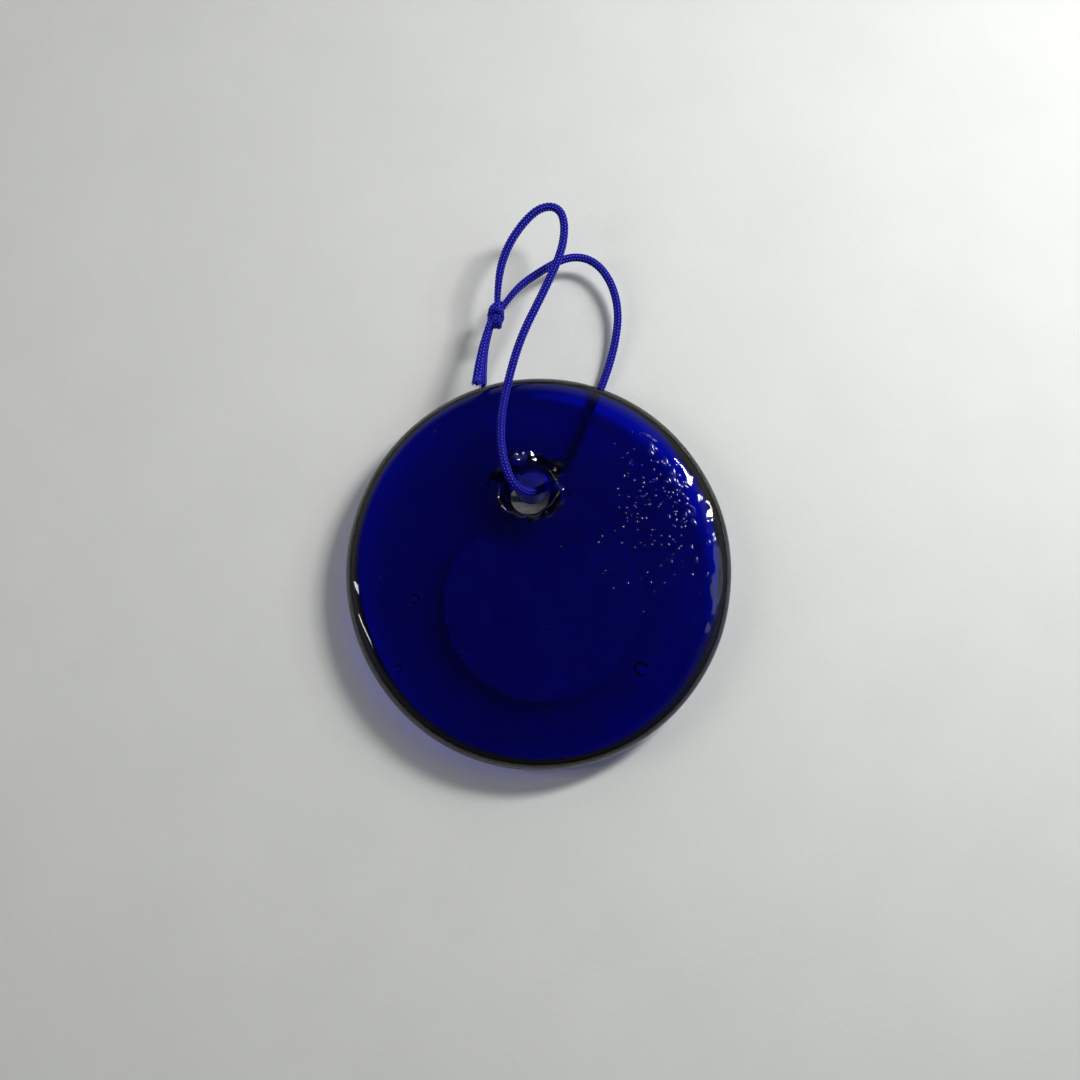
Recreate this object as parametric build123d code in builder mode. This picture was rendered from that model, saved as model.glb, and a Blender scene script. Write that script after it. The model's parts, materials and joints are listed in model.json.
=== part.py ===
"""Evil eye ornament: a thick cobalt glass disc with a fused glass eye, hung on a knotted nylon cord.

The disc lies with its eye down, resting on the pressed flat of the eye. +Z points up through the plain
back face and +Y points towards the hanging hole. The origin is on the resting plane, under the middle
of the disc. All lengths are in millimetres.
"""
import os
from math import radians, tan

from build123d import *

# ---- Driving dimensions -------------------------------------------------------------------------
DISC_WIDTH = 77.0  # the poured disc is slightly oval
DISC_HEIGHT = 79.4
DISC_THICKNESS = 7.0
RIM_RADIUS = 3.4  # the rim is rounded almost to a half circle

EYE_STANDS_PROUD = 2.5  # how far the eye rises from the front face
WHITE_RADIUS = 20.0
IRIS_RADIUS = 10.5
PUPIL_RADIUS = 5.4
WHITE_CENTRE = (0.7, -6.5)
IRIS_CENTRE = (0.9, -8.3)
GATHER_SINK = 0.9  # how deep each gather of glass sinks into the one below it
IRIS_STANDS_PROUD = 0.5  # the iris and pupil, pressed flush, above the white
WHITE_EDGE_RADIUS = 1.5
IRIS_EDGE_RADIUS = 0.4

HOLE_CENTRE = (-1.8, 16.3)
HOLE_RADIUS = 3.5
BACK_FLARE = 2.2  # the hole flares where the piercing tool went in
FRONT_LIP = 0.8
WHITE_TO_HOLE = 13.5  # the pierced wall holds the white this far from the hole's axis
LOBE_RADIUS = 6.0

CORD_DIAMETER = 1.8
KNOT_RADIUS = 1.75
KNOT_LENGTH = 6.0
KNOT_END_RADIUS = 1.3
KNOT_CENTRE = (-8.8, 52.1, 8.9)

# The loop leaves the knot, goes over the back face, down through the hole, under the disc and back to
# the knot, passing below itself on the way.
LOOP_ROUTE = [
    (-8.6, 53.6, 9.7),
    (-8.5, 59.6, 10.1),
    (-6.9, 65.8, 10.8),
    (-3.5, 71.2, 11.6),
    (0.3, 74.6, 12.2),
    (3.9, 74.4, 12.6),
    (5.4, 70.8, 12.8),
    (4.7, 64.4, 12.8),
    (0.7, 55.4, 12.5),
    (-3.6, 46.6, 12.0),
    (-6.1, 38.0, 11.4),
    (-7.8, 29.4, 11.0),
    (-7.4, 21.4, 11.1),
    (-4.6, 14.8, 10.4),
    (0.2, 16.7, 1.0),
    (6.4, 22.8, 1.1),
    (9.5, 31.6, 1.0),
    (13.3, 39.6, 1.3),
    (15.8, 47.4, 2.1),
    (16.9, 55.2, 3.1),
    (15.2, 62.0, 3.9),
    (11.4, 66.4, 4.6),
    (6.2, 66.8, 5.5),
    (0.4, 62.9, 6.8),
    (-5.2, 58.2, 8.0),
    (-7.6, 54.2, 8.1),
]
TAIL_LEFT_ROUTE = [
    (-9.7, 51.7, 9.6),
    (-11.0, 47.4, 10.2),
    (-11.9, 42.2, 11.1),
    (-12.5, 36.6, 12.3),
]
TAIL_RIGHT_ROUTE = [
    (-9.5, 51.0, 7.7),
    (-10.5, 46.6, 8.3),
    (-10.9, 41.2, 9.6),
    (-10.8, 35.6, 11.5),
]

# ---- Levels -------------------------------------------------------------------------------------
FRONT_Z = EYE_STANDS_PROUD
BACK_Z = FRONT_Z + DISC_THICKNESS
WHITE_Z = IRIS_STANDS_PROUD
WHITE_TOP_Z = FRONT_Z + GATHER_SINK
IRIS_TOP_Z = WHITE_Z + GATHER_SINK
PUPIL_TOP_Z = GATHER_SINK

os.makedirs("parts", exist_ok=True)


def white_outline():
    """The white gather: a round of glass with a bay where it meets the wall of the hanging hole."""
    with BuildSketch() as outline:
        with Locations(WHITE_CENTRE):
            Circle(WHITE_RADIUS)
        with Locations(HOLE_CENTRE):
            Circle(WHITE_TO_HOLE, mode=Mode.SUBTRACT)
        fillet(outline.vertices(), LOBE_RADIUS)
    return outline.sketch


def corner_radii(route):
    """The bend at each inner point of a route: as large as the shorter of its two runs allows."""
    points = [Vector(*point) for point in route]
    radii = []
    for before, here, after in zip(points, points[1:], points[2:]):
        run_in = here - before
        run_out = after - here
        half_turn = radians(run_in.get_angle(run_out)) / 2
        radii.append(0.45 * min(run_in.length, run_out.length) / tan(half_turn))
    return radii


# ---- Glass --------------------------------------------------------------------------------------
with BuildPart() as glass_disc:
    with BuildSketch(Plane.XY.offset(FRONT_Z)):
        Ellipse(DISC_WIDTH / 2, DISC_HEIGHT / 2)
    extrude(amount=DISC_THICKNESS)
    fillet(glass_disc.edges().filter_by(GeomType.ELLIPSE), RIM_RADIUS)
    # the hanging hole, pierced from the back while the glass was soft
    with BuildSketch(Plane.XY.offset(FRONT_Z)):
        with Locations(HOLE_CENTRE):
            Circle(HOLE_RADIUS)
    extrude(amount=DISC_THICKNESS, mode=Mode.SUBTRACT)
    mouths = glass_disc.edges().filter_by(GeomType.CIRCLE).sort_by(Axis.Z)
    fillet(mouths[-1], BACK_FLARE)
    fillet(glass_disc.edges().filter_by(GeomType.CIRCLE).sort_by(Axis.Z)[0], FRONT_LIP)
    # the bed that the white gather sank into
    with BuildSketch(Plane.XY.offset(FRONT_Z)):
        add(white_outline())
    extrude(amount=GATHER_SINK, mode=Mode.SUBTRACT)

with BuildPart() as eye_white:
    with BuildSketch(Plane.XY.offset(WHITE_Z)):
        add(white_outline())
    extrude(amount=WHITE_TOP_Z - WHITE_Z)
    fillet(eye_white.faces().sort_by(Axis.Z)[0].edges(), WHITE_EDGE_RADIUS)
    with BuildSketch(Plane.XY.offset(WHITE_Z)):
        with Locations(IRIS_CENTRE):
            Circle(IRIS_RADIUS)
    extrude(amount=GATHER_SINK, mode=Mode.SUBTRACT)

with BuildPart() as eye_iris:
    with BuildSketch():
        with Locations(IRIS_CENTRE):
            Circle(IRIS_RADIUS)
    extrude(amount=IRIS_TOP_Z)
    fillet(eye_iris.faces().sort_by(Axis.Z)[0].edges(), IRIS_EDGE_RADIUS)
    with BuildSketch():
        with Locations(IRIS_CENTRE):
            Circle(PUPIL_RADIUS)
    extrude(amount=GATHER_SINK, mode=Mode.SUBTRACT)

with BuildPart() as eye_pupil:
    with BuildSketch():
        with Locations(IRIS_CENTRE):
            Circle(PUPIL_RADIUS)
    extrude(amount=PUPIL_TOP_Z)

# ---- Cord ---------------------------------------------------------------------------------------
with BuildPart() as cord_loop:
    with BuildLine() as loop_line:
        FilletPolyline(*LOOP_ROUTE, radius=corner_radii(LOOP_ROUTE))
    with BuildSketch(Plane(loop_line.line ^ 0)):
        Circle(CORD_DIAMETER / 2)
    sweep()

with BuildPart() as cord_tail_left:
    with BuildLine() as tail_left_line:
        FilletPolyline(*TAIL_LEFT_ROUTE, radius=corner_radii(TAIL_LEFT_ROUTE))
    with BuildSketch(Plane(tail_left_line.line ^ 0)):
        Circle(CORD_DIAMETER / 2)
    sweep()

with BuildPart() as cord_tail_right:
    with BuildLine() as tail_right_line:
        FilletPolyline(*TAIL_RIGHT_ROUTE, radius=corner_radii(TAIL_RIGHT_ROUTE))
    with BuildSketch(Plane(tail_right_line.line ^ 0)):
        Circle(CORD_DIAMETER / 2)
    sweep()

# The overhand knot that both ends share, as a rounded barrel along Y.
with BuildPart() as cord_knot:
    with BuildSketch(Plane(origin=KNOT_CENTRE)) as half_barrel:
        Rectangle(KNOT_RADIUS, KNOT_LENGTH, align=(Align.MIN, Align.CENTER))
        fillet(half_barrel.vertices().group_by(Axis.X)[-1], KNOT_END_RADIUS)
    revolve(axis=Axis(KNOT_CENTRE, (0, 1, 0)))

# ---- Names and files ----------------------------------------------------------------------------
glass_disc.part.label = "glass_disc"
eye_white.part.label = "eye_white"
eye_iris.part.label = "eye_iris"
eye_pupil.part.label = "eye_pupil"
cord_loop.part.label = "cord_loop"
cord_tail_left.part.label = "cord_tail_left"
cord_tail_right.part.label = "cord_tail_right"
cord_knot.part.label = "cord_knot"

export_step(glass_disc.part, "parts/glass_disc.step")
export_step(eye_white.part, "parts/eye_white.step")
export_step(eye_iris.part, "parts/eye_iris.step")
export_step(eye_pupil.part, "parts/eye_pupil.step")
export_step(cord_loop.part, "parts/cord_loop.step")
export_step(cord_tail_left.part, "parts/cord_tail_left.step")
export_step(cord_tail_right.part, "parts/cord_tail_right.step")
export_step(cord_knot.part, "parts/cord_knot.step")

# ---- Cord facts ---------------------------------------------------------------------------------
SECTION_AREA = 3.141592653589793 * CORD_DIAMETER**2 / 4
for cord, line, route in (
    (cord_loop, loop_line, LOOP_ROUTE),
    (cord_tail_left, tail_left_line, TAIL_LEFT_ROUTE),
    (cord_tail_right, tail_right_line, TAIL_RIGHT_ROUTE),
):
    length = line.wires()[0].length
    print(cord.part.label, "length", round(length, 1), "mm")
    print("  volume", round(cord.part.volume, 1), "section x length", round(SECTION_AREA * length, 1))
    print("  bend radii", [round(radius, 1) for radius in corner_radii(route)])
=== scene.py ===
import json
import math

import bpy
import numpy as np
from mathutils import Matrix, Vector, noise


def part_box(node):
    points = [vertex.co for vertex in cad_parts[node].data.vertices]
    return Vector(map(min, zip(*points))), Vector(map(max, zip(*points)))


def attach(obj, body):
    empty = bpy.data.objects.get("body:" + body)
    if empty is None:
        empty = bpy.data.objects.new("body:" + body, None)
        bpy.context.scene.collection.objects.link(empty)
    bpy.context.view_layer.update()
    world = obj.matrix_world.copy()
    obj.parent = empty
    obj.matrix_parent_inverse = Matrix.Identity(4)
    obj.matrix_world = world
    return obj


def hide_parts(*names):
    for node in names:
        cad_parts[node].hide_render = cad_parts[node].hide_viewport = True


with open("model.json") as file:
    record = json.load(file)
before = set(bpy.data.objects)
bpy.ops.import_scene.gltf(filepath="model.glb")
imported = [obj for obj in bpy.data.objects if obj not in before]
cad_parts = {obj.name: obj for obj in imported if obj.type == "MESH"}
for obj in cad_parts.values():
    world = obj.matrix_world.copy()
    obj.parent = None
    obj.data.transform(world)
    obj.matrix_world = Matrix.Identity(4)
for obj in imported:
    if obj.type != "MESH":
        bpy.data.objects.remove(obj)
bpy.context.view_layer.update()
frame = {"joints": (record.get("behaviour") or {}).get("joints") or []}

# The ornament lies on its eye: a cobalt glass disc pierced by a flared hole, three gathers of opaque
# glass pressed into its underside, and one braided nylon cord, knotted with both ends.
# Shapes are worked out in millimetres and turned into metres when their mesh is made.
MM = 0.001


def box_mm(node):
    """Lowest and highest corner of a CAD node, in millimetres."""
    low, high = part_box(node)
    return np.array(low) / MM, np.array(high) / MM


# ---- Sizes that come from the frame --------------------------------------------------------------
DISC_LOW, DISC_HIGH = box_mm("glass_disc")
HALF_WIDTH, HALF_HEIGHT = (DISC_HIGH - DISC_LOW)[:2] / 2
FRONT_Z, BACK_Z = DISC_LOW[2], DISC_HIGH[2]
MIDDLE_Z = (FRONT_Z + BACK_Z) / 2
HOLE = np.array(frame["joints"][0]["pos_m"][:2]) / MM
WHITE_LOW, WHITE_HIGH = box_mm("eye_white")
IRIS_LOW, IRIS_HIGH = box_mm("eye_iris")
PUPIL_LOW, PUPIL_HIGH = box_mm("eye_pupil")
KNOT_LOW, KNOT_HIGH = box_mm("cord_knot")

# ---- The glass -----------------------------------------------------------------------------------
RIM_RADIUS = 3.4
RIGHT_RIM_EXTRA = 1.9  # the back's edge rolls over more widely on the right
BEVEL_LEAN = 41.0  # degrees between the front edge's bevel and the flat front
SHOULDER_DROP = 0.25  # how far the back falls away towards its edge
SHOULDER_REACH = 2.4
BROAD_WAVES = 0.06  # height of the pouring waves on both faces
CHILL_MIDDLE = (34, 4)  # the pour chilled first on this side, and rippled
CHILL_REACH = (27, 12)  # distances at which the chill is nothing and full
RIPPLE_LENGTH = 2.3
RIPPLE_HEIGHT = 0.06
RIPPLE_ELSEWHERE = 0.004
SHOULDER_RIPPLE_EXTRA = 0.20
FLOW_RING_HEIGHT = 0.09
FLOW_RING_STEP = 1.7
OUTLINE_WAVE = 15
OUTLINE_WOBBLE = 0.16
OUTLINE_DRAWN_IN = 0.1  # keeps the wobbly outline within the CAD's oval
HOLE_RADIUS = 3.3
HOLE_TAPER = 1.7
TAPER_CURVE = 1.3
TAPER_NEAR_LEFT = 0.45 * np.array([-0.45, -0.9])  # the taper is widest towards here
HOLE_SLANT = np.array([0.3, 0.9])  # how far the hole's front end is off its back end
MOUTH_RADIUS = 6.0  # the middle of the lumpy mouth
MOUTH_BREADTH = 1.7
MOUTH_LUMPS = 0.6
MOUTH_HEAVE = 0.75
WALL_LUMPS = 0.08
# the glass's colour is taken to black round the hole's mouth, out to about this radius
DARK_MOUTH_RADIUS = 0.0126  # metres, with the raggedness added
DARK_MOUTH_RAGGEDNESS = 0.012
DARK_MOUTH_FOOT = (0.0062, 0.0050)  # heights in metres between which the darkening round the mouth ends
BACK_FLARE = 1.3
BACK_FLARE_DEPTH = 1.8
FRONT_LIP = 0.8
WHITE_RADIUS = 20.0
WHITE_CENTRE = np.array([0.7, -6.5])
WHITE_MIDDLE = np.array([0.7, -9.0])  # where its outline is drawn from, clear of the bay
WHITE_TO_HOLE = 13.5
LOBE_ROUNDING = 5.0
BED_MARGIN = 1.0  # the disc's bed stays this far inside the white, so no air shows between them
FUSED_DEPTH = 0.05
BED_OVERLAP = 0.15  # how far one gather reaches into the bed of the next
GATHER_SAG = 0.06
SEED_COUNT = 110
PIMPLE_COUNT = 210
STRAY_SHARE = 0.25  # of the pimples, the share that is scattered over the whole back
PIMPLE_MIDDLE = (24.0, 12.5)
PIMPLE_SPREAD = (6.0, 8.0)
PIMPLE_WIDTHS = (0.11, 0.28)
PIMPLE_STEEPNESS = (0.15, 0.26)
PIMPLES_FROM_RIM = 4.6
CLEAR_OF_HOLE = 9  # no seed bubble or pimple is nearer to the hole's middle
PEBBLE_MIDDLE = (0.0215, 0.0070, 0.0095)  # metres
PEBBLE_REACH = (0.0165, 0.0095)
BUBBLE_FLATNESS = 0.8
BUBBLES = [  # place and radius of the air bubbles that show
    ((-24.6, -6.2, 5.8), 1.0),
    ((20.0, -20.0, 5.6), 1.5),
    ((-27.5, -20.0, 6.4), 0.7),
    ((18.6, 20.9, 6.8), 0.4),
]

# ---- The cord ------------------------------------------------------------------------------------
CORD_DIAMETER = 1.8
KNOT_CORD_RADIUS = 0.68  # the cord is pulled thin in the knot
PULLED_THINNER = 0.24  # share of its thickness that the loop loses where it meets the knot
STRANDS = 8  # strands that run each way round the braid
PER_CELL = 4  # points across one strand
TAIL_RADIUS = 0.62  # where the tails leave the knot
LEFT_TAIL_SPREAD = 0.40  # how much wider the open end of the left tail is
RIGHT_TAIL_SPREAD = 0.04
CUT_REGION = 2.0  # how far back from a cut end the cut disturbs the braid
FRAYING = 0.35
FILAMENT_COUNT = 40
FILAMENT_BUNDLE = 1.15  # radius that the loose filaments stand within
FILAMENT_RADIUS = 0.07
FILAMENT_ROOT = 0.9  # how far inside the open end a loose filament starts
# the crown value the loose filaments get, which sets their painted highlight
FILAMENT_PAINTED_LIGHT = 0.92
LOOP_ROUTE = [
    (-8.6, 53.6, 9.7),
    (-8.5, 59.6, 10.1),
    (-6.9, 65.8, 10.8),
    (-3.5, 71.2, 11.6),
    (0.3, 74.6, 12.2),
    (3.9, 74.4, 12.6),
    (5.4, 70.8, 12.8),
    (4.7, 64.4, 12.8),
    (0.7, 55.4, 12.5),
    (-3.6, 46.6, 12.0),
    (-6.1, 38.0, 11.4),
    (-7.8, 29.4, 11.0),
    (-7.4, 21.4, 11.1),
    (-4.6, 14.8, 10.4),
    (0.2, 16.7, 1.0),
    (6.4, 22.8, 1.1),
    (9.5, 31.6, 1.0),
    (13.3, 39.6, 1.3),
    (15.8, 47.4, 2.1),
    (16.9, 55.2, 3.1),
    (15.2, 62.0, 3.9),
    (11.4, 66.4, 4.6),
    (6.2, 66.8, 5.5),
    (0.4, 62.9, 6.8),
    (-5.2, 58.2, 8.0),
    (-7.6, 54.2, 8.1),
]
TAIL_LEFT_ROUTE = [
    (-9.7, 51.7, 9.6),
    (-11.0, 47.4, 10.2),
    (-11.9, 42.2, 11.1),
    (-12.5, 36.6, 12.3),
]
TAIL_RIGHT_ROUTE = [
    (-9.6, 51.2, 8.0),
    (-10.7, 46.6, 8.6),
    (-11.2, 41.2, 9.8),
    (-11.1, 36.2, 11.6),
]
# Each strand's way through the knot, from the knot's middle: down the back, round the bottom, up the
# front, behind and over the crown, and out to the left.
KNOT_FIRST = [
    (1.0, 3.0, 0.4),
    (0.8, 1.6, -0.5),
    (0.6, -0.4, -1.0),
    (0.55, -1.9, -0.7),
    (0.5, -2.3, 0.2),
    (0.55, -1.7, 1.0),
    (0.55, -0.6, 1.1),
    (0.6, 0.5, 0.6),
    (0.5, 1.5, -0.5),
    (-0.3, 1.5, -1.2),
    (-1.0, 0.9, -0.6),
    (-1.1, 0.5, 0.5),
    (-0.8, 1.3, 1.1),
    (0.0, 1.9, 1.3),
    (0.8, 1.4, 1.2),
    (1.1, 0.4, 0.7),
    (0.9, -0.5, -0.2),
    (0.2, -0.8, -0.9),
    (-0.7, -0.4, -0.8),
    (-1.2, -0.1, -0.2),
]
KNOT_SECOND = [
    (0.3, 3.0, -0.6),
    (-0.1, 1.4, -1.1),
    (-0.3, -0.4, -1.1),
    (-0.35, -1.9, -0.7),
    (-0.4, -2.2, 0.2),
    (-0.35, -1.6, 1.0),
    (-0.3, -0.6, 1.1),
    (-0.3, 0.4, 0.5),
    (-0.4, 1.0, -0.7),
    (-1.1, 0.4, -0.6),
    (-1.25, -0.2, 0.5),
    (-0.8, 0.5, 1.5),
    (0.05, 1.05, 1.8),
    (0.75, 0.6, 1.6),
    (1.15, -0.4, 0.9),
    (0.9, -1.1, -0.1),
    (0.1, -1.0, -0.8),
    (-0.8, -0.9, -0.4),
    (-1.3, -0.5, 0.4),
]

# ---- The view ------------------------------------------------------------------------------------
AIM = (0.2, 6.2, 4.0)
CAMERA_TILT = 11.0  # degrees from straight down
CAMERA_DISTANCE = 242.5
LENS = 40.0
SENSOR = 36.0


def make_camera():
    tilt = math.radians(CAMERA_TILT)
    back = Vector((0, -math.sin(tilt), math.cos(tilt)))
    data = bpy.data.cameras.new("camera")
    data.lens = LENS
    data.sensor_width = SENSOR
    data.clip_start = 0.01
    camera = bpy.data.objects.new("camera", data)
    camera.location = (Vector(AIM) + back * CAMERA_DISTANCE) * MM
    camera.rotation_euler = (-back).to_track_quat("-Z", "Y").to_euler()
    bpy.context.scene.collection.objects.link(camera)
    bpy.context.scene.camera = camera


# ---- Small helpers -------------------------------------------------------------------------------
def fade(value, start, end):
    """0 at start and 1 at end, smooth between them."""
    t = np.clip((np.asarray(value, float) - start) / (end - start), 0, 1)
    return t * t * (3 - 2 * t)


def unevenness(points, wave, seed):
    """Smooth noise from about -1 to 1 at each point, in waves of about this many millimetres."""
    shift = Vector((17.3, 5.1, 9.7)) * seed
    return np.array([noise.noise(Vector(p) / wave + shift) for p in points])


def unit(vectors):
    return vectors / np.linalg.norm(vectors, axis=-1, keepdims=True)


def grid_faces(rows, columns, closed_rows):
    """Quads of a grid whose columns close into rings, and its rows too if asked.

    The points run round each row before they go on to the next.
    """
    row = np.arange(rows if closed_rows else rows - 1)[:, None]
    column = np.arange(columns)[None, :]
    next_row = (row + 1) % rows
    next_column = (column + 1) % columns
    corners = (
        row * columns + column,
        row * columns + next_column,
        next_row * columns + next_column,
        next_row * columns + column,
    )
    return np.stack(corners, -1).reshape(-1, 4)


def capped_stack(rings):
    """Points and faces of a stack of rings, closed by a cap at each end."""
    around = len(rings[0])
    faces = grid_faces(len(rings), around, closed_rows=False).tolist()
    end = around * (len(rings) - 1)
    faces += [list(range(around))[::-1], list(range(end, end + around))]
    return np.concatenate(rings), faces


def make_piece(name, shapes, material):
    """One smooth mesh object from shapes: each has points in mm and faces, and a braid also has the place
    on its strand of each face corner and how far each point stands up on its strand."""
    points, faces, uvs, crowns, count = [], [], [], [], 0
    for shape_points, shape_faces, *extra in shapes:
        shape_uv, crown = extra if extra else (None, np.zeros(len(shape_points)))
        points.append(np.asarray(shape_points))
        crowns.append(crown)
        new_faces = [[int(i) + count for i in face] for face in shape_faces]
        faces += new_faces
        corners = sum(map(len, new_faces))
        uvs.append(np.zeros((corners, 2)) if shape_uv is None else np.asarray(shape_uv))
        count += len(shape_points)
    mesh = bpy.data.meshes.new(name)
    mesh.from_pydata((np.concatenate(points) * MM).tolist(), [], faces)
    layer = mesh.uv_layers.new(name="UVMap")
    layer.data.foreach_set("uv", np.concatenate(uvs).astype(np.float32).ravel())
    if np.any(np.concatenate(crowns)):
        attribute = mesh.attributes.new("crown", "FLOAT", "POINT")
        attribute.data.foreach_set("value", np.concatenate(crowns).astype(np.float32))
    mesh.shade_smooth()
    mesh.materials.append(material)
    mesh.validate()
    piece = bpy.data.objects.new(name, mesh)
    bpy.context.scene.collection.objects.link(piece)
    return piece


# ---- Glass shapes --------------------------------------------------------------------------------
def from_hole(xy):
    return np.hypot(xy[..., 0] - HOLE[0], xy[..., 1] - HOLE[1])


def inside_rim(xy):
    """Roughly how far inside the disc's outline a place is, in millimetres."""
    share = np.hypot(xy[..., 0] / HALF_WIDTH, xy[..., 1] / HALF_HEIGHT)
    return (1 - share) * (HALF_WIDTH + HALF_HEIGHT) / 2


def white_edge_distance(xy):
    """How far a place is outside the white's outline, negative inside: a round with a bay at the hole."""
    in_round = np.hypot(xy[..., 0] - WHITE_CENTRE[0], xy[..., 1] - WHITE_CENTRE[1]) - WHITE_RADIUS
    in_bay = WHITE_TO_HOLE - from_hole(xy)
    overlap = np.maximum(LOBE_ROUNDING - np.abs(in_round - in_bay), 0) / LOBE_ROUNDING
    return np.maximum(in_round, in_bay) + overlap**2 * LOBE_ROUNDING / 4


def back_relief(xy):
    """Height of the poured back's unevenness: a soft shoulder, broad waves, the chilled right side and
    the flow rings near the lower rim."""
    flat = np.column_stack([xy, np.zeros(len(xy))])
    inset = inside_rim(xy)
    from_chill = np.hypot(xy[:, 0] - CHILL_MIDDLE[0], xy[:, 1] - CHILL_MIDDLE[1])
    chill = fade(from_chill, *CHILL_REACH) * fade(inset, 10, 4)
    low_side = fade(-xy[:, 1], 12, 26) * fade(inset, 3, 5) * fade(inset, 16, 11)
    relief = -SHOULDER_DROP * np.exp(-inset / SHOULDER_REACH)
    relief += BROAD_WAVES * unevenness(flat, 14, 1)
    # the ripples are highest on the shoulder, and longer along the rim than across it
    ripple = RIPPLE_HEIGHT + SHOULDER_RIPPLE_EXTRA * fade(inset, 8, 5)
    ripple = ripple * chill * fade(inset, 1.9, 3.4)
    relief += (RIPPLE_ELSEWHERE + ripple) * unevenness(flat * (1, 0.6, 1), RIPPLE_LENGTH, 2)
    relief += FLOW_RING_HEIGHT * low_side * np.cos(inset * math.tau / FLOW_RING_STEP)
    return relief


def front_relief(xy):
    """Height of the front's unevenness: broad waves and the white's bed."""
    flat = np.column_stack([xy, np.zeros(len(xy))])
    relief = BROAD_WAVES * unevenness(flat, 12, 4)
    bed = fade(-white_edge_distance(xy), BED_MARGIN, BED_MARGIN + 0.8)
    bed_depth = WHITE_HIGH[2] - FUSED_DEPTH - FRONT_Z
    return relief * (1 - bed) + bed_depth * bed


def hole_taper(toward):
    """How much wider the hole is at the back in each direction: most of all on its near left side."""
    return (HOLE_TAPER * (1 + toward @ TAPER_NEAR_LEFT))[:, None]


def pierced_ring(toward, share):
    """Points of the hole's wall in these directions, at this share of the way from front to back."""
    low, high = FRONT_Z + FRONT_LIP, BACK_Z - BACK_FLARE_DEPTH
    radius = HOLE_RADIUS + hole_taper(toward) * share**TAPER_CURVE
    xy = HOLE + HOLE_SLANT * (1 - share) + toward * radius
    return np.column_stack([xy, np.full(len(toward), low + share * (high - low))])


def front_bevel():
    """How far in and how far down each point of the bevelled front edge is, from the disc's widest line."""
    above = np.radians(np.linspace(90, BEVEL_LEAN, 7))
    bevel = np.radians(np.full(12, BEVEL_LEAN))
    below = np.radians(np.linspace(BEVEL_LEAN, 0, 8))
    above_step, below_step = 0.16, 0.14
    curved_drop = above_step * np.sin(above).sum() + below_step * np.sin(below).sum()
    bevel_step = (MIDDLE_Z - FRONT_Z - curved_drop) / np.sin(bevel).sum()
    lean = np.concatenate([above, bevel, below])
    step = np.repeat([above_step, bevel_step, below_step], [len(above), len(bevel), len(below)])
    return np.cumsum(step * np.cos(lean)), np.cumsum(step * np.sin(lean))


def disc_shape():
    """The disc as one closed grid: up the hole's wall, out over the back, round the rim, back below."""
    around = 430
    wall_rows, flare_rows, back_rows, rim_rows, front_rows, lip_rows = 16, 14, 88, 22, 46, 7
    turn = np.linspace(0, math.tau, around, endpoint=False)
    edge = np.column_stack([HALF_WIDTH * np.cos(turn), HALF_HEIGHT * np.sin(turn)])
    outward = unit(np.column_stack([np.cos(turn) / HALF_WIDTH, np.sin(turn) / HALF_HEIGHT]))
    right_side = fade(np.cos(turn - 0.15), -0.2, 0.75)
    rim_width = (RIM_RADIUS + RIGHT_RIM_EXTRA * right_side)[:, None]
    inner = edge - outward * rim_width
    toward = unit(inner - HOLE)
    mouth_radius = HOLE_RADIUS + hole_taper(toward) + BACK_FLARE
    rows = []

    def hole_ring(centre, radius, z):
        rows.append(np.column_stack([centre + toward * radius, np.full(around, z)]))

    def face_ring(share, centre, radius, outer, z):
        mouth = centre + toward * radius
        rows.append(np.column_stack([mouth * (1 - share) + outer * share, np.full(around, z)]))

    rows += [pierced_ring(toward, share) for share in np.linspace(0, 1, wall_rows)]
    for angle in np.linspace(0, math.pi / 2, flare_rows)[1:]:
        rise = BACK_FLARE_DEPTH * math.sin(angle)
        reach = mouth_radius - BACK_FLARE * math.cos(angle)
        hole_ring(HOLE, reach, BACK_Z - BACK_FLARE_DEPTH + rise)
    for share in np.linspace(0, 1, back_rows)[1:-1]:
        face_ring(share, HOLE, mouth_radius, inner, BACK_Z)
    half_height = (BACK_Z - FRONT_Z) / 2
    for angle in np.linspace(0, math.pi / 2, rim_rows):
        xy = edge - outward * rim_width * (1 - math.sin(angle))
        rows.append(np.column_stack([xy, np.full(around, MIDDLE_Z + half_height * math.cos(angle))]))
    for inset, drop in zip(*front_bevel()):
        rows.append(np.column_stack([edge - outward * inset, np.full(around, MIDDLE_Z - drop)]))
    front_inner = edge - outward * front_bevel()[0][-1]
    for share in np.linspace(1, 0, front_rows)[1:-1]:
        face_ring(share, HOLE + HOLE_SLANT, HOLE_RADIUS + FRONT_LIP, front_inner, FRONT_Z)
    for angle in np.linspace(0, math.pi / 2, lip_rows)[:-1]:
        rise = FRONT_LIP * (1 - math.cos(angle))
        hole_ring(HOLE + HOLE_SLANT, HOLE_RADIUS + FRONT_LIP * (1 - math.sin(angle)), FRONT_Z + rise)

    flat_points = with_relief(np.concatenate(rows))
    faces = grid_faces(len(rows), around, closed_rows=True)[:, ::-1]
    return flat_points, faces


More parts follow.
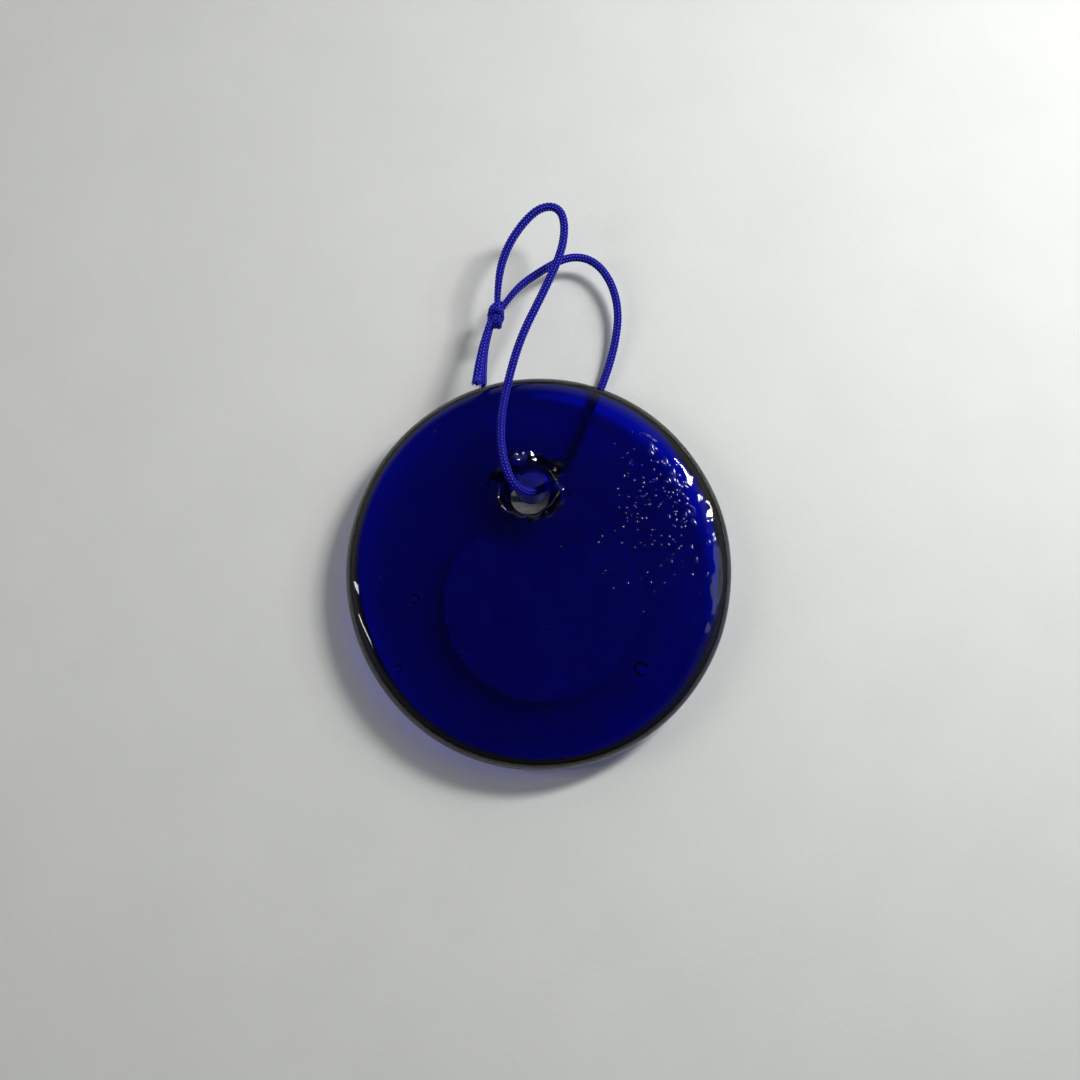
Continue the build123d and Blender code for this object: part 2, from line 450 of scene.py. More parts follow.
def with_relief(flat_points):
    """The disc's points moved by its waves, its lumpy hole and its uneven outline."""
    height = (flat_points[:, 2] - MIDDLE_Z) / ((BACK_Z - FRONT_Z) / 2)
    xy = flat_points[:, :2].copy()
    upper = np.clip(height, 0, 1)
    lower = np.clip(-height, 0, 1)
    near_hole = fade(from_hole(xy), 10.5, HOLE_RADIUS)
    calmer = 1 - 0.6 * near_hole
    flat_points[:, 2] += back_relief(xy) * upper * calmer
    flat_points[:, 2] += front_relief(xy) * lower
    # the pierced wall is lumpy, most of all at its mouth
    lump = unevenness(flat_points, 2.4, 5) * 0.8 + unevenness(flat_points, 5.5, 6) * 0.7
    mouth = np.exp(-(((from_hole(xy) - MOUTH_RADIUS) / MOUTH_BREADTH) ** 2)) * fade(height, -0.1, 0.8)
    push = lump * (WALL_LUMPS * near_hole + MOUTH_LUMPS * mouth)
    away = unit(xy - HOLE)
    flat_points[:, :2] += away * push[:, None]
    flat_points[:, 2] += MOUTH_HEAVE * mouth * unevenness(flat_points, 2.2, 7)
    # the outline isn't a perfect oval either
    rim = np.sqrt(np.clip(1 - height**2, 0, 1)) * (from_hole(xy) > 12)
    in_plan = np.column_stack([xy, np.zeros(len(xy))])
    wobble = unevenness(in_plan, OUTLINE_WAVE, 8) * OUTLINE_WOBBLE - OUTLINE_DRAWN_IN
    flat_points[:, :2] += unit(xy) * (rim * wobble)[:, None]
    return flat_points


def painted_reflection_shape():
    """A thin pale crescent on the near side of the hole's wall: a painted reflection of the lit table in
    the steep wall.
    """
    around, up = 72, 16
    first_side, last_side = math.radians(188), math.radians(352)
    lowest, tallest = 0.10, 0.86
    turn = np.linspace(first_side, last_side, around)
    toward = np.column_stack([np.cos(turn), np.sin(turn)])
    span = np.sin(np.linspace(0, math.pi, around)) ** 0.5
    wall, skin = [], []
    for share in np.linspace(0, 1, up):
        reach = lowest + tallest * share * span
        on_wall = np.vstack([pierced_ring(toward[i : i + 1], reach[i]) for i in range(around)])
        wall.append(on_wall)
        thickness = 0.03 + 0.09 * math.sin(math.pi * share) ** 0.5 * span
        skin.append(on_wall - np.column_stack([toward * thickness[:, None], np.zeros(around)]))
    sheets = with_relief(np.concatenate(wall)), with_relief(np.concatenate(skin))
    back_again = sheets[1].reshape(up, around, 3)[::-1].reshape(-1, 3)
    points = np.concatenate([sheets[0], back_again])
    rows = 2 * up
    faces = []
    for j in range(rows):
        for i in range(around - 1):
            low, high = j * around + i, (j + 1) % rows * around + i
            faces.append([low, low + 1, high + 1, high])
    for i in (0, around - 1):
        side = [j * around + i for j in range(rows)]
        faces.append(side if i else side[::-1])
    return points, faces


def bubble_shape(centre, radius, columns=24, rings=12):
    """A closed air bubble: its faces look inwards, out of the glass."""
    turn = np.linspace(0, math.tau, columns, endpoint=False)
    points = []
    for tilt in np.linspace(-math.pi / 2, math.pi / 2, rings + 2)[1:-1]:
        x, y = np.cos(turn) * math.cos(tilt), np.sin(turn) * math.cos(tilt)
        points.append(np.column_stack([x, y, np.full(columns, BUBBLE_FLATNESS * math.sin(tilt))]))
    points = np.concatenate(points) * radius + np.array(centre)
    faces = [list(face[::-1]) for face in grid_faces(rings, columns, closed_rows=False)]
    faces.append(list(range(columns)))
    faces.append(list(range(columns * rings - 1, columns * (rings - 1) - 1, -1)))
    return points, faces


def seed_bubbles(count):
    """Pin-prick seeds scattered through the glass, clear of its faces and the white."""
    rng = np.random.default_rng(7)
    shapes = []
    while len(shapes) < count:
        x, y = rng.uniform(-36, 36, 2)
        place = np.array([x, y])
        z = rng.uniform(FRONT_Z + 1.6, BACK_Z - 0.8)
        if inside_rim(place) > 5 and from_hole(place) > CLEAR_OF_HOLE:
            shapes.append(bubble_shape((x, y, z), rng.uniform(0.05, 0.11), columns=10, rings=5))
    return shapes


def pimple_shapes(count):
    """Low, uneven blisters of chilled glass, most on the back's right side, long ones near its rim."""
    rng = np.random.default_rng(21)
    turn = np.linspace(0, math.tau, 14, endpoint=False)
    levels = (1.0, 0.97, 0.8, 0.65, 0.5, 0.35, 0.2, 0.07)  # shares of the width, from the foot up
    foot_depth = 0.04
    shapes = []
    while len(shapes) < count:
        stray = rng.random() < STRAY_SHARE
        place = rng.uniform(-33, 33, 2) if stray else rng.normal(PIMPLE_MIDDLE, PIMPLE_SPREAD)
        if inside_rim(place) < PIMPLES_FROM_RIM or from_hole(place) < CLEAR_OF_HOLE:
            continue
        if place[0] < 10 and not stray:
            continue
        near_rim = float(fade(inside_rim(place), 10, 5))
        width = rng.uniform(*PIMPLE_WIDTHS) * (0.6 if stray else 1 + near_rim)
        length = width * rng.uniform(1.0, 1.5 + 2.2 * near_rim)
        rise = width * rng.uniform(*PIMPLE_STEEPNESS)
        heading = math.atan2(place[1], place[0]) + math.pi / 2 + rng.normal(0, 0.4)
        rings = []
        for level in levels:
            along_it, across_it = np.cos(turn) * length * level, np.sin(turn) * width * level
            x = place[0] + along_it * math.cos(heading) - across_it * math.sin(heading)
            y = place[1] + along_it * math.sin(heading) + across_it * math.cos(heading)
            xy = np.column_stack([x, y])
            height = rise * math.cos(level * math.pi / 2) ** 2 if rings else -foot_depth
            rings.append(np.column_stack([xy, BACK_Z + back_relief(xy) + height]))
        shapes.append(capped_stack(rings))
    return shapes


def gather_shape(centre, reach, low_z, high_z, edge_radius, pocket, seed):
    """A gather of glass pressed flat: reach gives its outline round centre, pocket the depth of its bed."""
    around, across, rounding = 240, 44, 9
    turn = np.linspace(0, math.tau, around, endpoint=False)
    heading = np.column_stack([np.cos(turn), np.sin(turn)])
    limit = reach(heading)
    rows = []
    for share in np.linspace(0, 1, across + 1)[1:]:
        xy = centre + heading * ((limit - edge_radius) * share)[:, None]
        rows.append(np.column_stack([xy, np.full(around, low_z)]))
    for angle in np.linspace(0, math.pi / 2, rounding + 1)[1:]:
        xy = centre + heading * (limit - edge_radius * (1 - math.sin(angle)))[:, None]
        rows.append(np.column_stack([xy, np.full(around, low_z + edge_radius * (1 - math.cos(angle)))]))
    for share in (0.5, 1.0):
        side = low_z + edge_radius + (high_z - low_z - edge_radius) * share
        rows.append(np.column_stack([centre + heading * limit[:, None], np.full(around, side)]))
    for share in np.linspace(1, 0, across // 2)[1:-1]:
        rows.append(np.column_stack([centre + heading * (limit * share)[:, None], np.full(around, high_z)]))
    points = np.concatenate(rows)
    below = points[:, 2] < low_z + edge_radius
    dip = unevenness(points, 5, seed) * GATHER_SAG + GATHER_SAG
    points[:, 2] += np.where(below, dip + pocket(points[:, :2]), 0)
    first, last = len(points), len(points) + 1
    bottom = low_z + GATHER_SAG + float(pocket(np.array([centre]))[0])
    points = np.vstack([points, [*centre, bottom], [*centre, high_z]])
    ring = np.arange(around)
    top = (len(rows) - 1) * around
    faces = grid_faces(len(rows), around, closed_rows=False).tolist()
    faces += [[first, (i + 1) % around, i] for i in ring]
    faces += [[last, top + i, top + (i + 1) % around] for i in ring]
    return points, faces


def white_reach(heading):
    """How far the white's outline is from its middle in each direction, found by halving."""
    near, far = np.zeros(len(heading)), np.full(len(heading), 30.0)
    for _ in range(30):
        middle = (near + far) / 2
        outside = white_edge_distance(WHITE_MIDDLE + heading * middle[:, None]) > 0
        near, far = np.where(outside, near, middle), np.where(outside, middle, far)
    return near


def round_reach(radius, wobble, seed):
    """The outline of a round gather that isn't quite a circle."""
    def reach(heading):
        corners = np.column_stack([heading, np.zeros(len(heading))])
        return radius + wobble * (unevenness(corners, 0.9, seed) - 0.4)
    return reach


def pocket_for(centre, radius, depth):
    """A bed for the gather that sits in this one, a little smaller, so that no air shows between them."""
    def pocket(xy):
        distance = np.hypot(xy[..., 0] - centre[0], xy[..., 1] - centre[1])
        return depth * fade(distance, radius - 0.8, radius - 1.8)
    return pocket


def no_pocket(xy):
    return 0 * xy[..., 0]


# ---- Cord shapes ---------------------------------------------------------------------------------
def smooth_line(route):
    """Points, in mm, read from the NURBS spline whose control points are the route."""
    data = bpy.data.curves.new("route", "CURVE")
    data.dimensions = "3D"
    spline = data.splines.new("NURBS")
    spline.points.add(len(route) - 1)
    for point, place in zip(spline.points, route):
        point.co = (*(value * MM for value in place), 1)
    spline.order_u = 3
    spline.use_endpoint_u = True
    spline.resolution_u = 16
    holder = bpy.data.objects.new("route", data)
    bpy.context.scene.collection.objects.link(holder)
    mesh = bpy.data.meshes.new_from_object(holder)
    points = np.array([vertex.co for vertex in mesh.vertices]) / MM
    bpy.data.objects.remove(holder)
    bpy.data.curves.remove(data)
    bpy.data.meshes.remove(mesh)
    return points


def measure(line):
    """How far along the line each of its points is."""
    steps = np.linalg.norm(np.diff(line, axis=0), axis=1)
    return np.concatenate([[0], np.cumsum(steps)])


def along(line, places):
    """Points of the line at these distances from its start, with a frame that doesn't twist."""
    reached = measure(line)
    points = np.column_stack([np.interp(places, reached, line[:, axis]) for axis in range(3)])
    tangents = unit(np.gradient(line, reached, axis=0))
    tangents = unit(np.column_stack([np.interp(places, reached, tangents[:, axis]) for axis in range(3)]))
    side = np.cross(tangents[0], (0, 0, 1.0))
    if np.linalg.norm(side) < 0.1:
        side = np.cross(tangents[0], (1.0, 0, 0))
    sides = []
    for tangent in tangents:
        side = unit(side - tangent * (side @ tangent))
        sides.append(side)
    sides = np.array(sides)
    return points, tangents, sides, np.cross(tangents, sides)


def braid_shape(line, radius, lead, relief, open_end=0.0, slant=0.0):
    """A braided tube along the line, as a lattice of diamonds that follow its strands.

    radius is a function of the share of the length. Each strand floats over two others and dives
    under the next two. open_end is how far the sheath's end turns back inside itself, and slant how
    far the cut slopes across the end.
    """
    length = measure(line)[-1]
    row_step = lead / (2 * STRANDS * PER_CELL)
    per_row = STRANDS * PER_CELL
    rows = int(length / row_step)
    index = np.arange(rows)
    place = index * length / (rows - 1)
    full = np.array([radius(share) for share in place / length])
    folded = int(open_end / row_step)
    if folded:
        index = np.arange(rows + folded)
        place = np.concatenate([place, length - (np.arange(folded) + 1) * row_step])
        inner = full[-1] - 0.14 - 0.25 * np.arange(folded) / folded
        full = np.concatenate([full, inner])
    rows = len(index)
    points, tangents, sides, others = along(line, place)
    number = np.arange(per_row)[None, :] * 2 + (index % 2)[:, None]
    angle = number * math.pi / per_row
    across_right = (number + index[:, None]) / (2 * PER_CELL)
    across_left = (index[:, None] - number) / (2 * PER_CELL)
    cell_right = np.floor(across_right)
    cell_left = np.floor(across_left)
    turn = (cell_right - cell_left) % 4
    right_over = turn < 2
    width = np.where(right_over, across_right - cell_right, across_left - cell_left)
    ahead = np.where(right_over, 1 - turn + across_left - cell_left, turn - 2 + across_right - cell_right)
    rounded = np.sqrt(np.clip(1 - (2 * width - 1) ** 2, 0, 1))
    crown = rounded * np.sqrt(np.clip(np.sin(ahead * math.pi / 2), 0, 1))
    height = full[:, None] - relief * (1 - crown)
    ring = np.cos(angle)[..., None] * sides[:, None, :] + np.sin(angle)[..., None] * others[:, None, :]
    where = points[:, None, :] + ring * height[..., None]
    near_end = fade(place, length - CUT_REGION, length)[:, None]
    ragged = np.array([noise.noise(Vector((a * 1.7, 3.3, length))) for a in np.arange(per_row)])
    slope = slant * np.cos(angle) * near_end
    if folded:
        slope = slope + near_end * FRAYING * ragged[None, :]
    where = where + tangents[:, None, :] * slope[..., None]
    faces, uvs = braid_faces(rows, per_row)
    where = where.reshape(-1, 3)
    first, last = len(where), len(where) + 1
    where = np.vstack([where, points[0], points[-1]])
    end, before = (rows - 1) * per_row, (rows - 2) * per_row
    caps = []
    for j in range(per_row):
        following = (j + 1) % per_row
        caps.append([first, following, j])
        caps.append([j, following, per_row + j])
        caps.append([last, end + j, end + following])
        caps.append([end + following, end + j, before + (j if rows % 2 else following)])
    faces = faces.tolist() + caps
    uvs = np.vstack([uvs, np.zeros((3 * len(caps), 2))])
    return where, faces, uvs, np.append(crown.ravel(), [0, 0])


def braid_faces(rows, per_row):
    """The lattice's diamonds, and the place of their corners across and along the strand that shows."""
    row = np.arange(rows - 2)[:, None]
    column = np.arange(per_row)[None, :]
    odd = row % 2
    right = (column + odd) % per_row
    left = (column - 1 + odd) % per_row
    corners = (
        row * per_row + column + 0 * odd,
        (row + 1) * per_row + right,
        (row + 2) * per_row + column,
        (row + 1) * per_row + left,
    )
    faces = np.stack(corners, -1).reshape(-1, 4)
    number = column * 2 + odd
    corner_right = np.stack([number + row, number + row + 2, number + row + 2, number + row], -1)
    corner_left = np.stack([row - number, row - number, row - number + 2, row - number + 2], -1)
    corner_right = corner_right / (2 * PER_CELL)
    corner_left = corner_left / (2 * PER_CELL)
    cell_right = np.floor(corner_right.mean(-1, keepdims=True))
    cell_left = np.floor(corner_left.mean(-1, keepdims=True))
    right_over = (cell_right - cell_left) % 4 < 2
    across = np.where(right_over, corner_right - cell_right, corner_left - cell_left)
    ahead = np.where(right_over, corner_left, corner_right)
    return faces, np.stack([across, ahead], -1).reshape(-1, 2)


def fray_shapes(line, radius, count):
    """Loose filament ends that stand out of an open end of braid."""
    rng = np.random.default_rng(5)
    length = measure(line)[-1]
    middle, ahead, side, other = (part[-1] for part in along(line, np.array([0.0, length])))
    turn = np.linspace(0, math.tau, 5, endpoint=False)
    shapes = []
    for _ in range(count):
        angle = rng.uniform(0, math.tau)
        outward = math.cos(angle) * side + math.sin(angle) * other
        root = middle + outward * radius * rng.uniform(0.3, 0.8) - ahead * FILAMENT_ROOT
        way = unit(ahead + outward * rng.uniform(-0.15, 0.22))
        reach = FILAMENT_ROOT + rng.uniform(0.1, 0.7)
        rings = []
        for share in np.linspace(0, 1, 5):
            centre = root + way * reach * share + outward * 0.12 * share**2
            ring = np.cos(turn)[:, None] * side + np.sin(turn)[:, None] * other
            rings.append(centre + ring * FILAMENT_RADIUS * (1 - 0.5 * share))
        points, faces = capped_stack(rings)
        corners = sum(map(len, faces))
        shapes.append((points, faces, np.zeros((corners, 2)), np.full(len(points), FILAMENT_PAINTED_LIGHT)))
    return shapes


# ---- Materials -----------------------------------------------------------------------------------
def new_material(name, **values):
    """A material with one Principled shader whose named sockets are set."""
    material = bpy.data.materials.new(name)
    material.use_nodes = True
    shader = material.node_tree.nodes["Principled BSDF"]
    for socket, value in values.items():
        shader.inputs[socket.replace("_", " ")].default_value = value
    return material, material.node_tree, shader


def add_node(tree, kind, **values):
    """A node with its sockets set by name, or its own settings where it has no such socket."""
    node = tree.nodes.new(kind)
    for name, value in values.items():
        label = name.replace("_", " ")
        if label in node.inputs:
            node.inputs[label].default_value = value
        else:
            setattr(node, name, value)
    return node


def object_place(tree):
    return add_node(tree, "ShaderNodeTexCoord").outputs["Object"]


def colour_ramp(tree, source, stops):
    ramp = tree.nodes.new("ShaderNodeValToRGB")
    elements = ramp.color_ramp.elements
    while len(elements) < len(stops):
        elements.new(0.5)
    for element, (position, colour) in zip(elements, stops):
        element.position = position
        element.color = (*colour, 1)
    tree.links.new(source, ramp.inputs["Fac"])
    return ramp.outputs["Color"]


def bump(tree, shader, height, distance):
    """A bumpy skin, its greatest height given in metres."""
    node = add_node(tree, "ShaderNodeBump", Strength=1.0, Distance=distance)
    tree.links.new(height, node.inputs["Height"])
    tree.links.new(node.outputs["Normal"], shader.inputs["Normal"])


def smooth_range(tree, source, start, end):
    """0 where the source is at start and 1 where it is at end, smooth between them."""
    node = add_node(tree, "ShaderNodeMapRange", interpolation_type="SMOOTHSTEP")
    node.inputs["From Min"].default_value = start
    node.inputs["From Max"].default_value = end
    tree.links.new(source, node.inputs["Value"])
    return node.outputs["Result"]


def times(tree, first, second):
    node = add_node(tree, "ShaderNodeMath", operation="MULTIPLY")
    tree.links.new(first, node.inputs[0])
    tree.links.new(second, node.inputs[1])
    return node.outputs["Value"]


def flattened(tree, place):
    """The place with its height taken out."""
    node = add_node(tree, "ShaderNodeVectorMath", operation="MULTIPLY")
    tree.links.new(place, node.inputs[0])
    node.inputs[1].default_value = (1, 1, 0)
    return node.outputs["Vector"]


def distance_to(tree, place, target):
    node = add_node(tree, "ShaderNodeVectorMath", operation="DISTANCE")
    tree.links.new(place, node.inputs[0])
    node.inputs[1].default_value = target
    return node.outputs["Value"]


def cobalt_glass():
    """Clear glass that swallows red at once, green soon and blue slowly, with chill marks on one side,
    and its colour taken to black round the mouth of the hole."""
    material, tree, shader = new_material(
        "cobalt_glass", Roughness=0.012, IOR=1.5, Transmission_Weight=1.0
    )
    place = object_place(tree)
    pebbles = add_node(tree, "ShaderNodeTexNoise", Scale=900.0, Detail=1.0, Roughness=0.4)
    tree.links.new(place, pebbles.inputs["Vector"])
    zone = smooth_range(tree, distance_to(tree, place, PEBBLE_MIDDLE), *PEBBLE_REACH)
    bump(tree, shader, times(tree, pebbles.outputs["Fac"], zone), 0.00006)
    scale = add_node(tree, "ShaderNodeTexNoise", Scale=260.0, Detail=2.0)
    tree.links.new(place, scale.inputs["Vector"])
    ragged = add_node(tree, "ShaderNodeMath", operation="MULTIPLY_ADD")
    tree.links.new(scale.outputs["Fac"], ragged.inputs[0])
    ragged.inputs[1].default_value = DARK_MOUTH_RAGGEDNESS
    from_axis = distance_to(tree, flattened(tree, place), (HOLE[0] * MM, HOLE[1] * MM, 0))
    tree.links.new(from_axis, ragged.inputs[2])
    outside = smooth_range(tree, ragged.outputs["Value"], DARK_MOUTH_RADIUS, DARK_MOUTH_RADIUS + 0.0005)
    parts = tree.nodes.new("ShaderNodeSeparateXYZ")
    tree.links.new(place, parts.inputs["Vector"])
    below = smooth_range(tree, parts.outputs["Z"], *DARK_MOUTH_FOOT)
    undarkened = add_node(tree, "ShaderNodeMath", operation="MAXIMUM")
    tree.links.new(outside, undarkened.inputs[0])
    tree.links.new(below, undarkened.inputs[1])
    # the colour goes to black round the hole's mouth, inside a ragged radius and above a height
    colour = colour_ramp(tree, undarkened.outputs["Value"], [(0.0, (0.01, 0.01, 0.02)), (1.0, (1, 1, 1))])
    tree.links.new(colour, shader.inputs["Base Color"])
    absorption = add_node(
        tree, "ShaderNodeVolumeAbsorption", Color=(0.018, 0.29, 0.908, 1), Density=1100.0
    )
    output = tree.nodes["Material Output"]
    tree.links.new(absorption.outputs["Volume"], output.inputs["Volume"])
    return material


def pimple_glass():
    """The blisters: dark opaque glass that shows its gloss, its colour painted to pass for the lit glass
    around it, lighter towards the rim.
    """
    material, tree, shader = new_material(
        "pimple_glass", Roughness=0.17, IOR=1.5, Specular_IOR_Level=0.5
    )
    from_middle = distance_to(tree, flattened(tree, object_place(tree)), (0, 0, 0))
    # painted light: the blisters' colour brightens towards the rim, where more light shows through the
    # glass
    painted_rim_light = smooth_range(tree, from_middle, 0.025, 0.034)
    colour = colour_ramp(
        tree,
        painted_rim_light,
        [(0.0, (0.001, 0.001, 0.05)), (0.5, (0.001, 0.001, 0.10)), (1.0, (0.003, 0.005, 0.24))],
    )
    tree.links.new(colour, shader.inputs["Base Color"])
    return material


def opaque_glass(name, dark, light, roughness):
    """Poured opaque glass: cloudy streaks in its colour, a soft gloss and a slightly wavy skin."""
    material, tree, shader = new_material(name, Roughness=roughness, IOR=1.5)
    place = object_place(tree)
    clouds = add_node(tree, "ShaderNodeTexNoise", Scale=160.0, Detail=4.0, Distortion=1.2)
    tree.links.new(place, clouds.inputs["Vector"])
    colour = colour_ramp(tree, clouds.outputs["Fac"], [(0.3, dark), (0.7, light)])
    tree.links.new(colour, shader.inputs["Base Color"])
    skin = add_node(tree, "ShaderNodeTexNoise", Scale=420.0, Detail=3.0)
    tree.links.new(place, skin.inputs["Vector"])
    bump(tree, shader, skin.outputs["Fac"], 0.00006)
    return material


def braided_nylon():
    """Shiny royal-blue filaments that run along each strand of the braid, with painted shade in its creases
    and painted near-white highlights on its crowns.
    """
    material, tree, shader = new_material(
        "braided_nylon", Roughness=0.38, IOR=1.53, Specular_IOR_Level=0.12
    )
    uv = add_node(tree, "ShaderNodeTexCoord").outputs["UV"]
    stretch = add_node(tree, "ShaderNodeMapping", Scale=(7.0, 0.8, 1.0))
    tree.links.new(uv, stretch.inputs["Vector"])
    fibres = add_node(tree, "ShaderNodeTexNoise", Scale=1.6, Detail=3.0, Roughness=0.6)
    tree.links.new(stretch.outputs["Vector"], fibres.inputs["Vector"])
    colour = colour_ramp(
        tree, fibres.outputs["Fac"], [(0.3, (0.006, 0.005, 0.70)), (0.75, (0.022, 0.021, 1.0))]
    )
    crown = add_node(tree, "ShaderNodeAttribute", attribute_name="crown")
    # painted light and shade: the braid's crevices are darkened and its crowns brightened to near white
    painted_light_and_shade = colour_ramp(
        tree,
        crown.outputs["Fac"],
        [
            (0.4, (0.10, 0.08, 0.16)),
            (0.8, (0.6, 0.6, 0.6)),
            (0.9, (1.6, 1.6, 1.0)),
            (0.97, (15, 16, 1.05)),
        ],
    )
    mixed = add_node(tree, "ShaderNodeMix", data_type="RGBA", blend_type="MULTIPLY")
    mixed.inputs["Factor"].default_value = 1.0
    tree.links.new(colour, mixed.inputs[6])
    tree.links.new(painted_light_and_shade, mixed.inputs[7])
    tree.links.new(mixed.outputs[2], shader.inputs["Base Color"])
    bump(tree, shader, fibres.outputs["Fac"], 0.00008)
    return material


def table_paint():
    """A matt, off-white table top with faint mottling."""
    material, tree, shader = new_material("table_top", Roughness=0.7)
    place = object_place(tree)
    mottling = add_node(tree, "ShaderNodeTexNoise", Scale=45.0, Detail=5.0, Roughness=0.6)
    tree.links.new(place, mottling.inputs["Vector"])
    colour = colour_ramp(
        tree, mottling.outputs["Fac"], [(0.3, (0.765, 0.775, 0.745)), (0.7, (0.80, 0.81, 0.78))]
    )
    tree.links.new(colour, shader.inputs["Base Color"])
    grain = add_node(tree, "ShaderNodeTexNoise", Scale=700.0, Detail=3.0)
    tree.links.new(place, grain.inputs["Vector"])
    bump(tree, shader, grain.outputs["Fac"], 0.00004)
    return material


# ---- Pieces --------------------------------------------------------------------------------------
def make_glass():
    """The disc with its bubbles, its blisters, and a painted reflection in its hole."""
    shapes = [disc_shape()]
    shapes += [bubble_shape(centre, radius) for centre, radius in BUBBLES]
    shapes += seed_bubbles(SEED_COUNT)
    disc = make_piece("cobalt_disc", shapes, cobalt_glass())
    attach(disc, "bead")
    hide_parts("glass_disc")
    pimples = make_piece("chill_pimples", pimple_shapes(PIMPLE_COUNT), pimple_glass())
    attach(pimples, "bead")
    # painted reflection: pale grey opaque glass where the hole's near wall reflects the lit table
    pale = opaque_glass("painted_reflection", (0.06, 0.06, 0.055), (0.14, 0.14, 0.125), 0.22)
    painted_reflection = make_piece("hole_painted_reflection", [painted_reflection_shape()], pale)
    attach(painted_reflection, "bead")


def make_eye():
    """The three gathers pressed into the disc's underside."""
    iris_centre = (IRIS_LOW + IRIS_HIGH)[:2] / 2
    iris_radius = (IRIS_HIGH - IRIS_LOW)[0] / 2
    pupil_radius = (PUPIL_HIGH - PUPIL_LOW)[0] / 2
    iris_bed = pocket_for(iris_centre, iris_radius, IRIS_HIGH[2] - WHITE_LOW[2] - BED_OVERLAP)
    pupil_bed = pocket_for(iris_centre, pupil_radius, PUPIL_HIGH[2] - BED_OVERLAP)
    white = gather_shape(
        WHITE_MIDDLE, white_reach, WHITE_LOW[2], WHITE_HIGH[2],
        edge_radius=1.5, pocket=iris_bed, seed=11,
    )
    iris = gather_shape(
        iris_centre, round_reach(iris_radius, 0.5, 12), IRIS_LOW[2], IRIS_HIGH[2],
        edge_radius=0.4, pocket=pupil_bed, seed=13,
    )
    pupil = gather_shape(
        iris_centre, round_reach(pupil_radius, 0.4, 14), PUPIL_LOW[2], PUPIL_HIGH[2],
        edge_radius=0.15, pocket=no_pocket, seed=13,
    )
    layers = (
        ("white_gather", white, "eye_white", "white_glass",
         opaque_glass("white_glass", (0.74, 0.76, 0.74), (0.86, 0.87, 0.85), 0.16)),
        ("light_blue_gather", iris, "eye_iris", "light_blue_glass",
         opaque_glass("light_blue_glass", (0.08, 0.34, 0.62), (0.16, 0.48, 0.76), 0.13)),
        ("black_gather", pupil, "eye_pupil", "black_glass",
         opaque_glass("black_glass", (0.003, 0.004, 0.010), (0.010, 0.011, 0.022), 0.1)),
    )
    for name, shape, node, slot, material in layers:
        layer = make_piece(name, [shape], material)
        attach(layer, "bead")
        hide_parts(node)


def make_cord():
    """The loop, the knot and both tails, from one cord."""
    nylon = braided_nylon()
    full = CORD_DIAMETER / 2
    loop_line = smooth_line(LOOP_ROUTE)

    def loop_radius(share):
        from_knot = min(share, 1 - share)
        return full * (1 - PULLED_THINNER * float(fade(from_knot, 0.06, 0.0)))

    loop = make_piece("cord_braid", [braid_shape(loop_line, loop_radius, lead=5.4, relief=0.24)], nylon)

    knot_centre = (KNOT_LOW + KNOT_HIGH) / 2
    turns = []
    for strand in (KNOT_FIRST, KNOT_SECOND):
        line = smooth_line([tuple(knot_centre + np.array(point)) for point in strand])
        turns.append(braid_shape(line, lambda share: KNOT_CORD_RADIUS, lead=4.4, relief=0.16))
    knot = make_piece("overhand_knot", turns, nylon)

    def left_radius(share):
        return TAIL_RADIUS + LEFT_TAIL_SPREAD * float(fade(share, 0.05, 0.95))

    def right_radius(share):
        return TAIL_RADIUS + RIGHT_TAIL_SPREAD * float(fade(share, 0.3, 1.0))

    left_line = smooth_line(TAIL_LEFT_ROUTE)
    left_shapes = [braid_shape(left_line, left_radius, lead=6.4, relief=0.24, open_end=1.4)]
    left_shapes += fray_shapes(left_line, FILAMENT_BUNDLE, FILAMENT_COUNT)
    left = make_piece("left_tail", left_shapes, nylon)
    right_line = smooth_line(TAIL_RIGHT_ROUTE)
    right_shape = braid_shape(right_line, right_radius, lead=4.6, relief=0.18, slant=0.5)
    right = make_piece("right_tail", [right_shape], nylon)
    for piece, node in (
        (loop, "cord_loop"), (knot, "cord_knot"), (left, "cord_tail_left"), (right, "cord_tail_right")
    ):
        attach(piece, "cord")
        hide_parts(node)


# ---- Table and light -----------------------------------------------------------------------------
def make_table():
    """A flat table top, far larger than the ornament."""
    half = 1500.0
    steps = 24
    side = np.linspace(-half, half, steps + 1)
    x, y = np.meshgrid(side, side)
    points = np.column_stack([x.ravel(), y.ravel(), np.zeros(x.size)])
    corner = (np.arange(steps)[:, None] * (steps + 1) + np.arange(steps)[None, :]).ravel()
    faces = np.column_stack([corner, corner + 1, corner + steps + 2, corner + steps + 1])
    table = make_piece("table", [(points, faces)], table_paint())


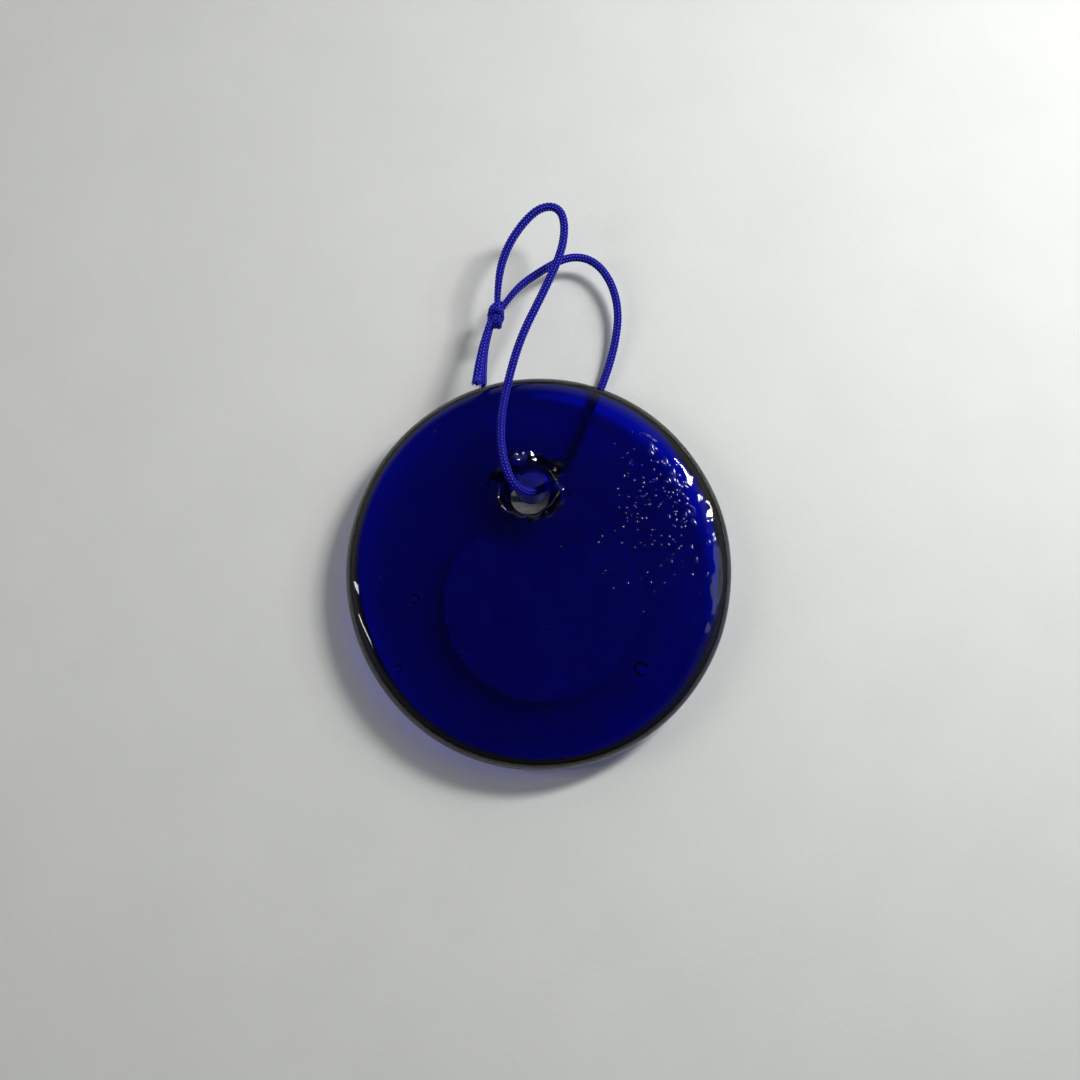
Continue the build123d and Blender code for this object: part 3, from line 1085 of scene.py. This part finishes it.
def soft_light(name, azimuth, elevation, distance, size, power, colour=(1, 1, 1)):
    """A rectangular light that looks at the middle of the ornament. Azimuth 0 is +X and 90 is +Y."""
    turn, rise = math.radians(azimuth), math.radians(elevation)
    heading = Vector((math.cos(turn) * math.cos(rise), math.sin(turn) * math.cos(rise), math.sin(rise)))
    data = bpy.data.lights.new(name, "AREA")
    data.shape = "RECTANGLE"
    data.size, data.size_y = size
    data.energy = power
    data.color = colour
    light = bpy.data.objects.new(name, data)
    light.location = Vector(AIM) * MM + heading * distance
    light.rotation_euler = (-heading).to_track_quat("-Z", "Z").to_euler()
    bpy.context.scene.collection.objects.link(light)


def make_light():
    """A lamp and a window from the upper right, the sky from the right, two strips at the left for the
    thin line on the rim there, and a dim room all round."""
    soft_light("lamp", 36, 47, 0.40, (0.11, 0.055), 0.79)
    soft_light("window", 34, 40, 0.42, (0.18, 0.035), 0.40)
    soft_light("sky", 4, 42, 0.62, (0.32, 0.20), 0.24, (0.70, 0.82, 1.0))
    soft_light("left_strip", 187, 42, 0.60, (0.28, 0.02), 0.27)
    soft_light("upper_left_strip", 175, 41, 0.60, (0.26, 0.02), 0.22)
    world = bpy.data.worlds.new("room")
    bpy.context.scene.world = world
    world.use_nodes = True
    tree = world.node_tree
    heading = add_node(tree, "ShaderNodeTexCoord").outputs["Generated"]
    parts = tree.nodes.new("ShaderNodeSeparateXYZ")
    tree.links.new(heading, parts.inputs["Vector"])
    colour = colour_ramp(
        tree,
        parts.outputs["Z"],
        [
            (0.0, (0.13, 0.13, 0.125)),
            (0.3, (0.43, 0.43, 0.42)),
            (0.5, (0.36, 0.36, 0.35)),
            (0.9, (0.02, 0.02, 0.02)),
        ],
    )
    tree.links.new(colour, tree.nodes["Background"].inputs["Color"])
    # the room is brighter beyond the ornament than on the camera's side
    beyond = smooth_range(tree, parts.outputs["Y"], -0.9, 0.7)
    strength = add_node(tree, "ShaderNodeMapRange")
    strength.inputs["To Min"].default_value = 0.25
    strength.inputs["To Max"].default_value = 1.35
    tree.links.new(beyond, strength.inputs["Value"])
    tree.links.new(strength.outputs["Result"], tree.nodes["Background"].inputs["Strength"])


make_camera()
make_cord()
make_glass()
make_eye()
make_table()
make_light()
bpy.context.scene.view_settings.view_transform = "Standard"
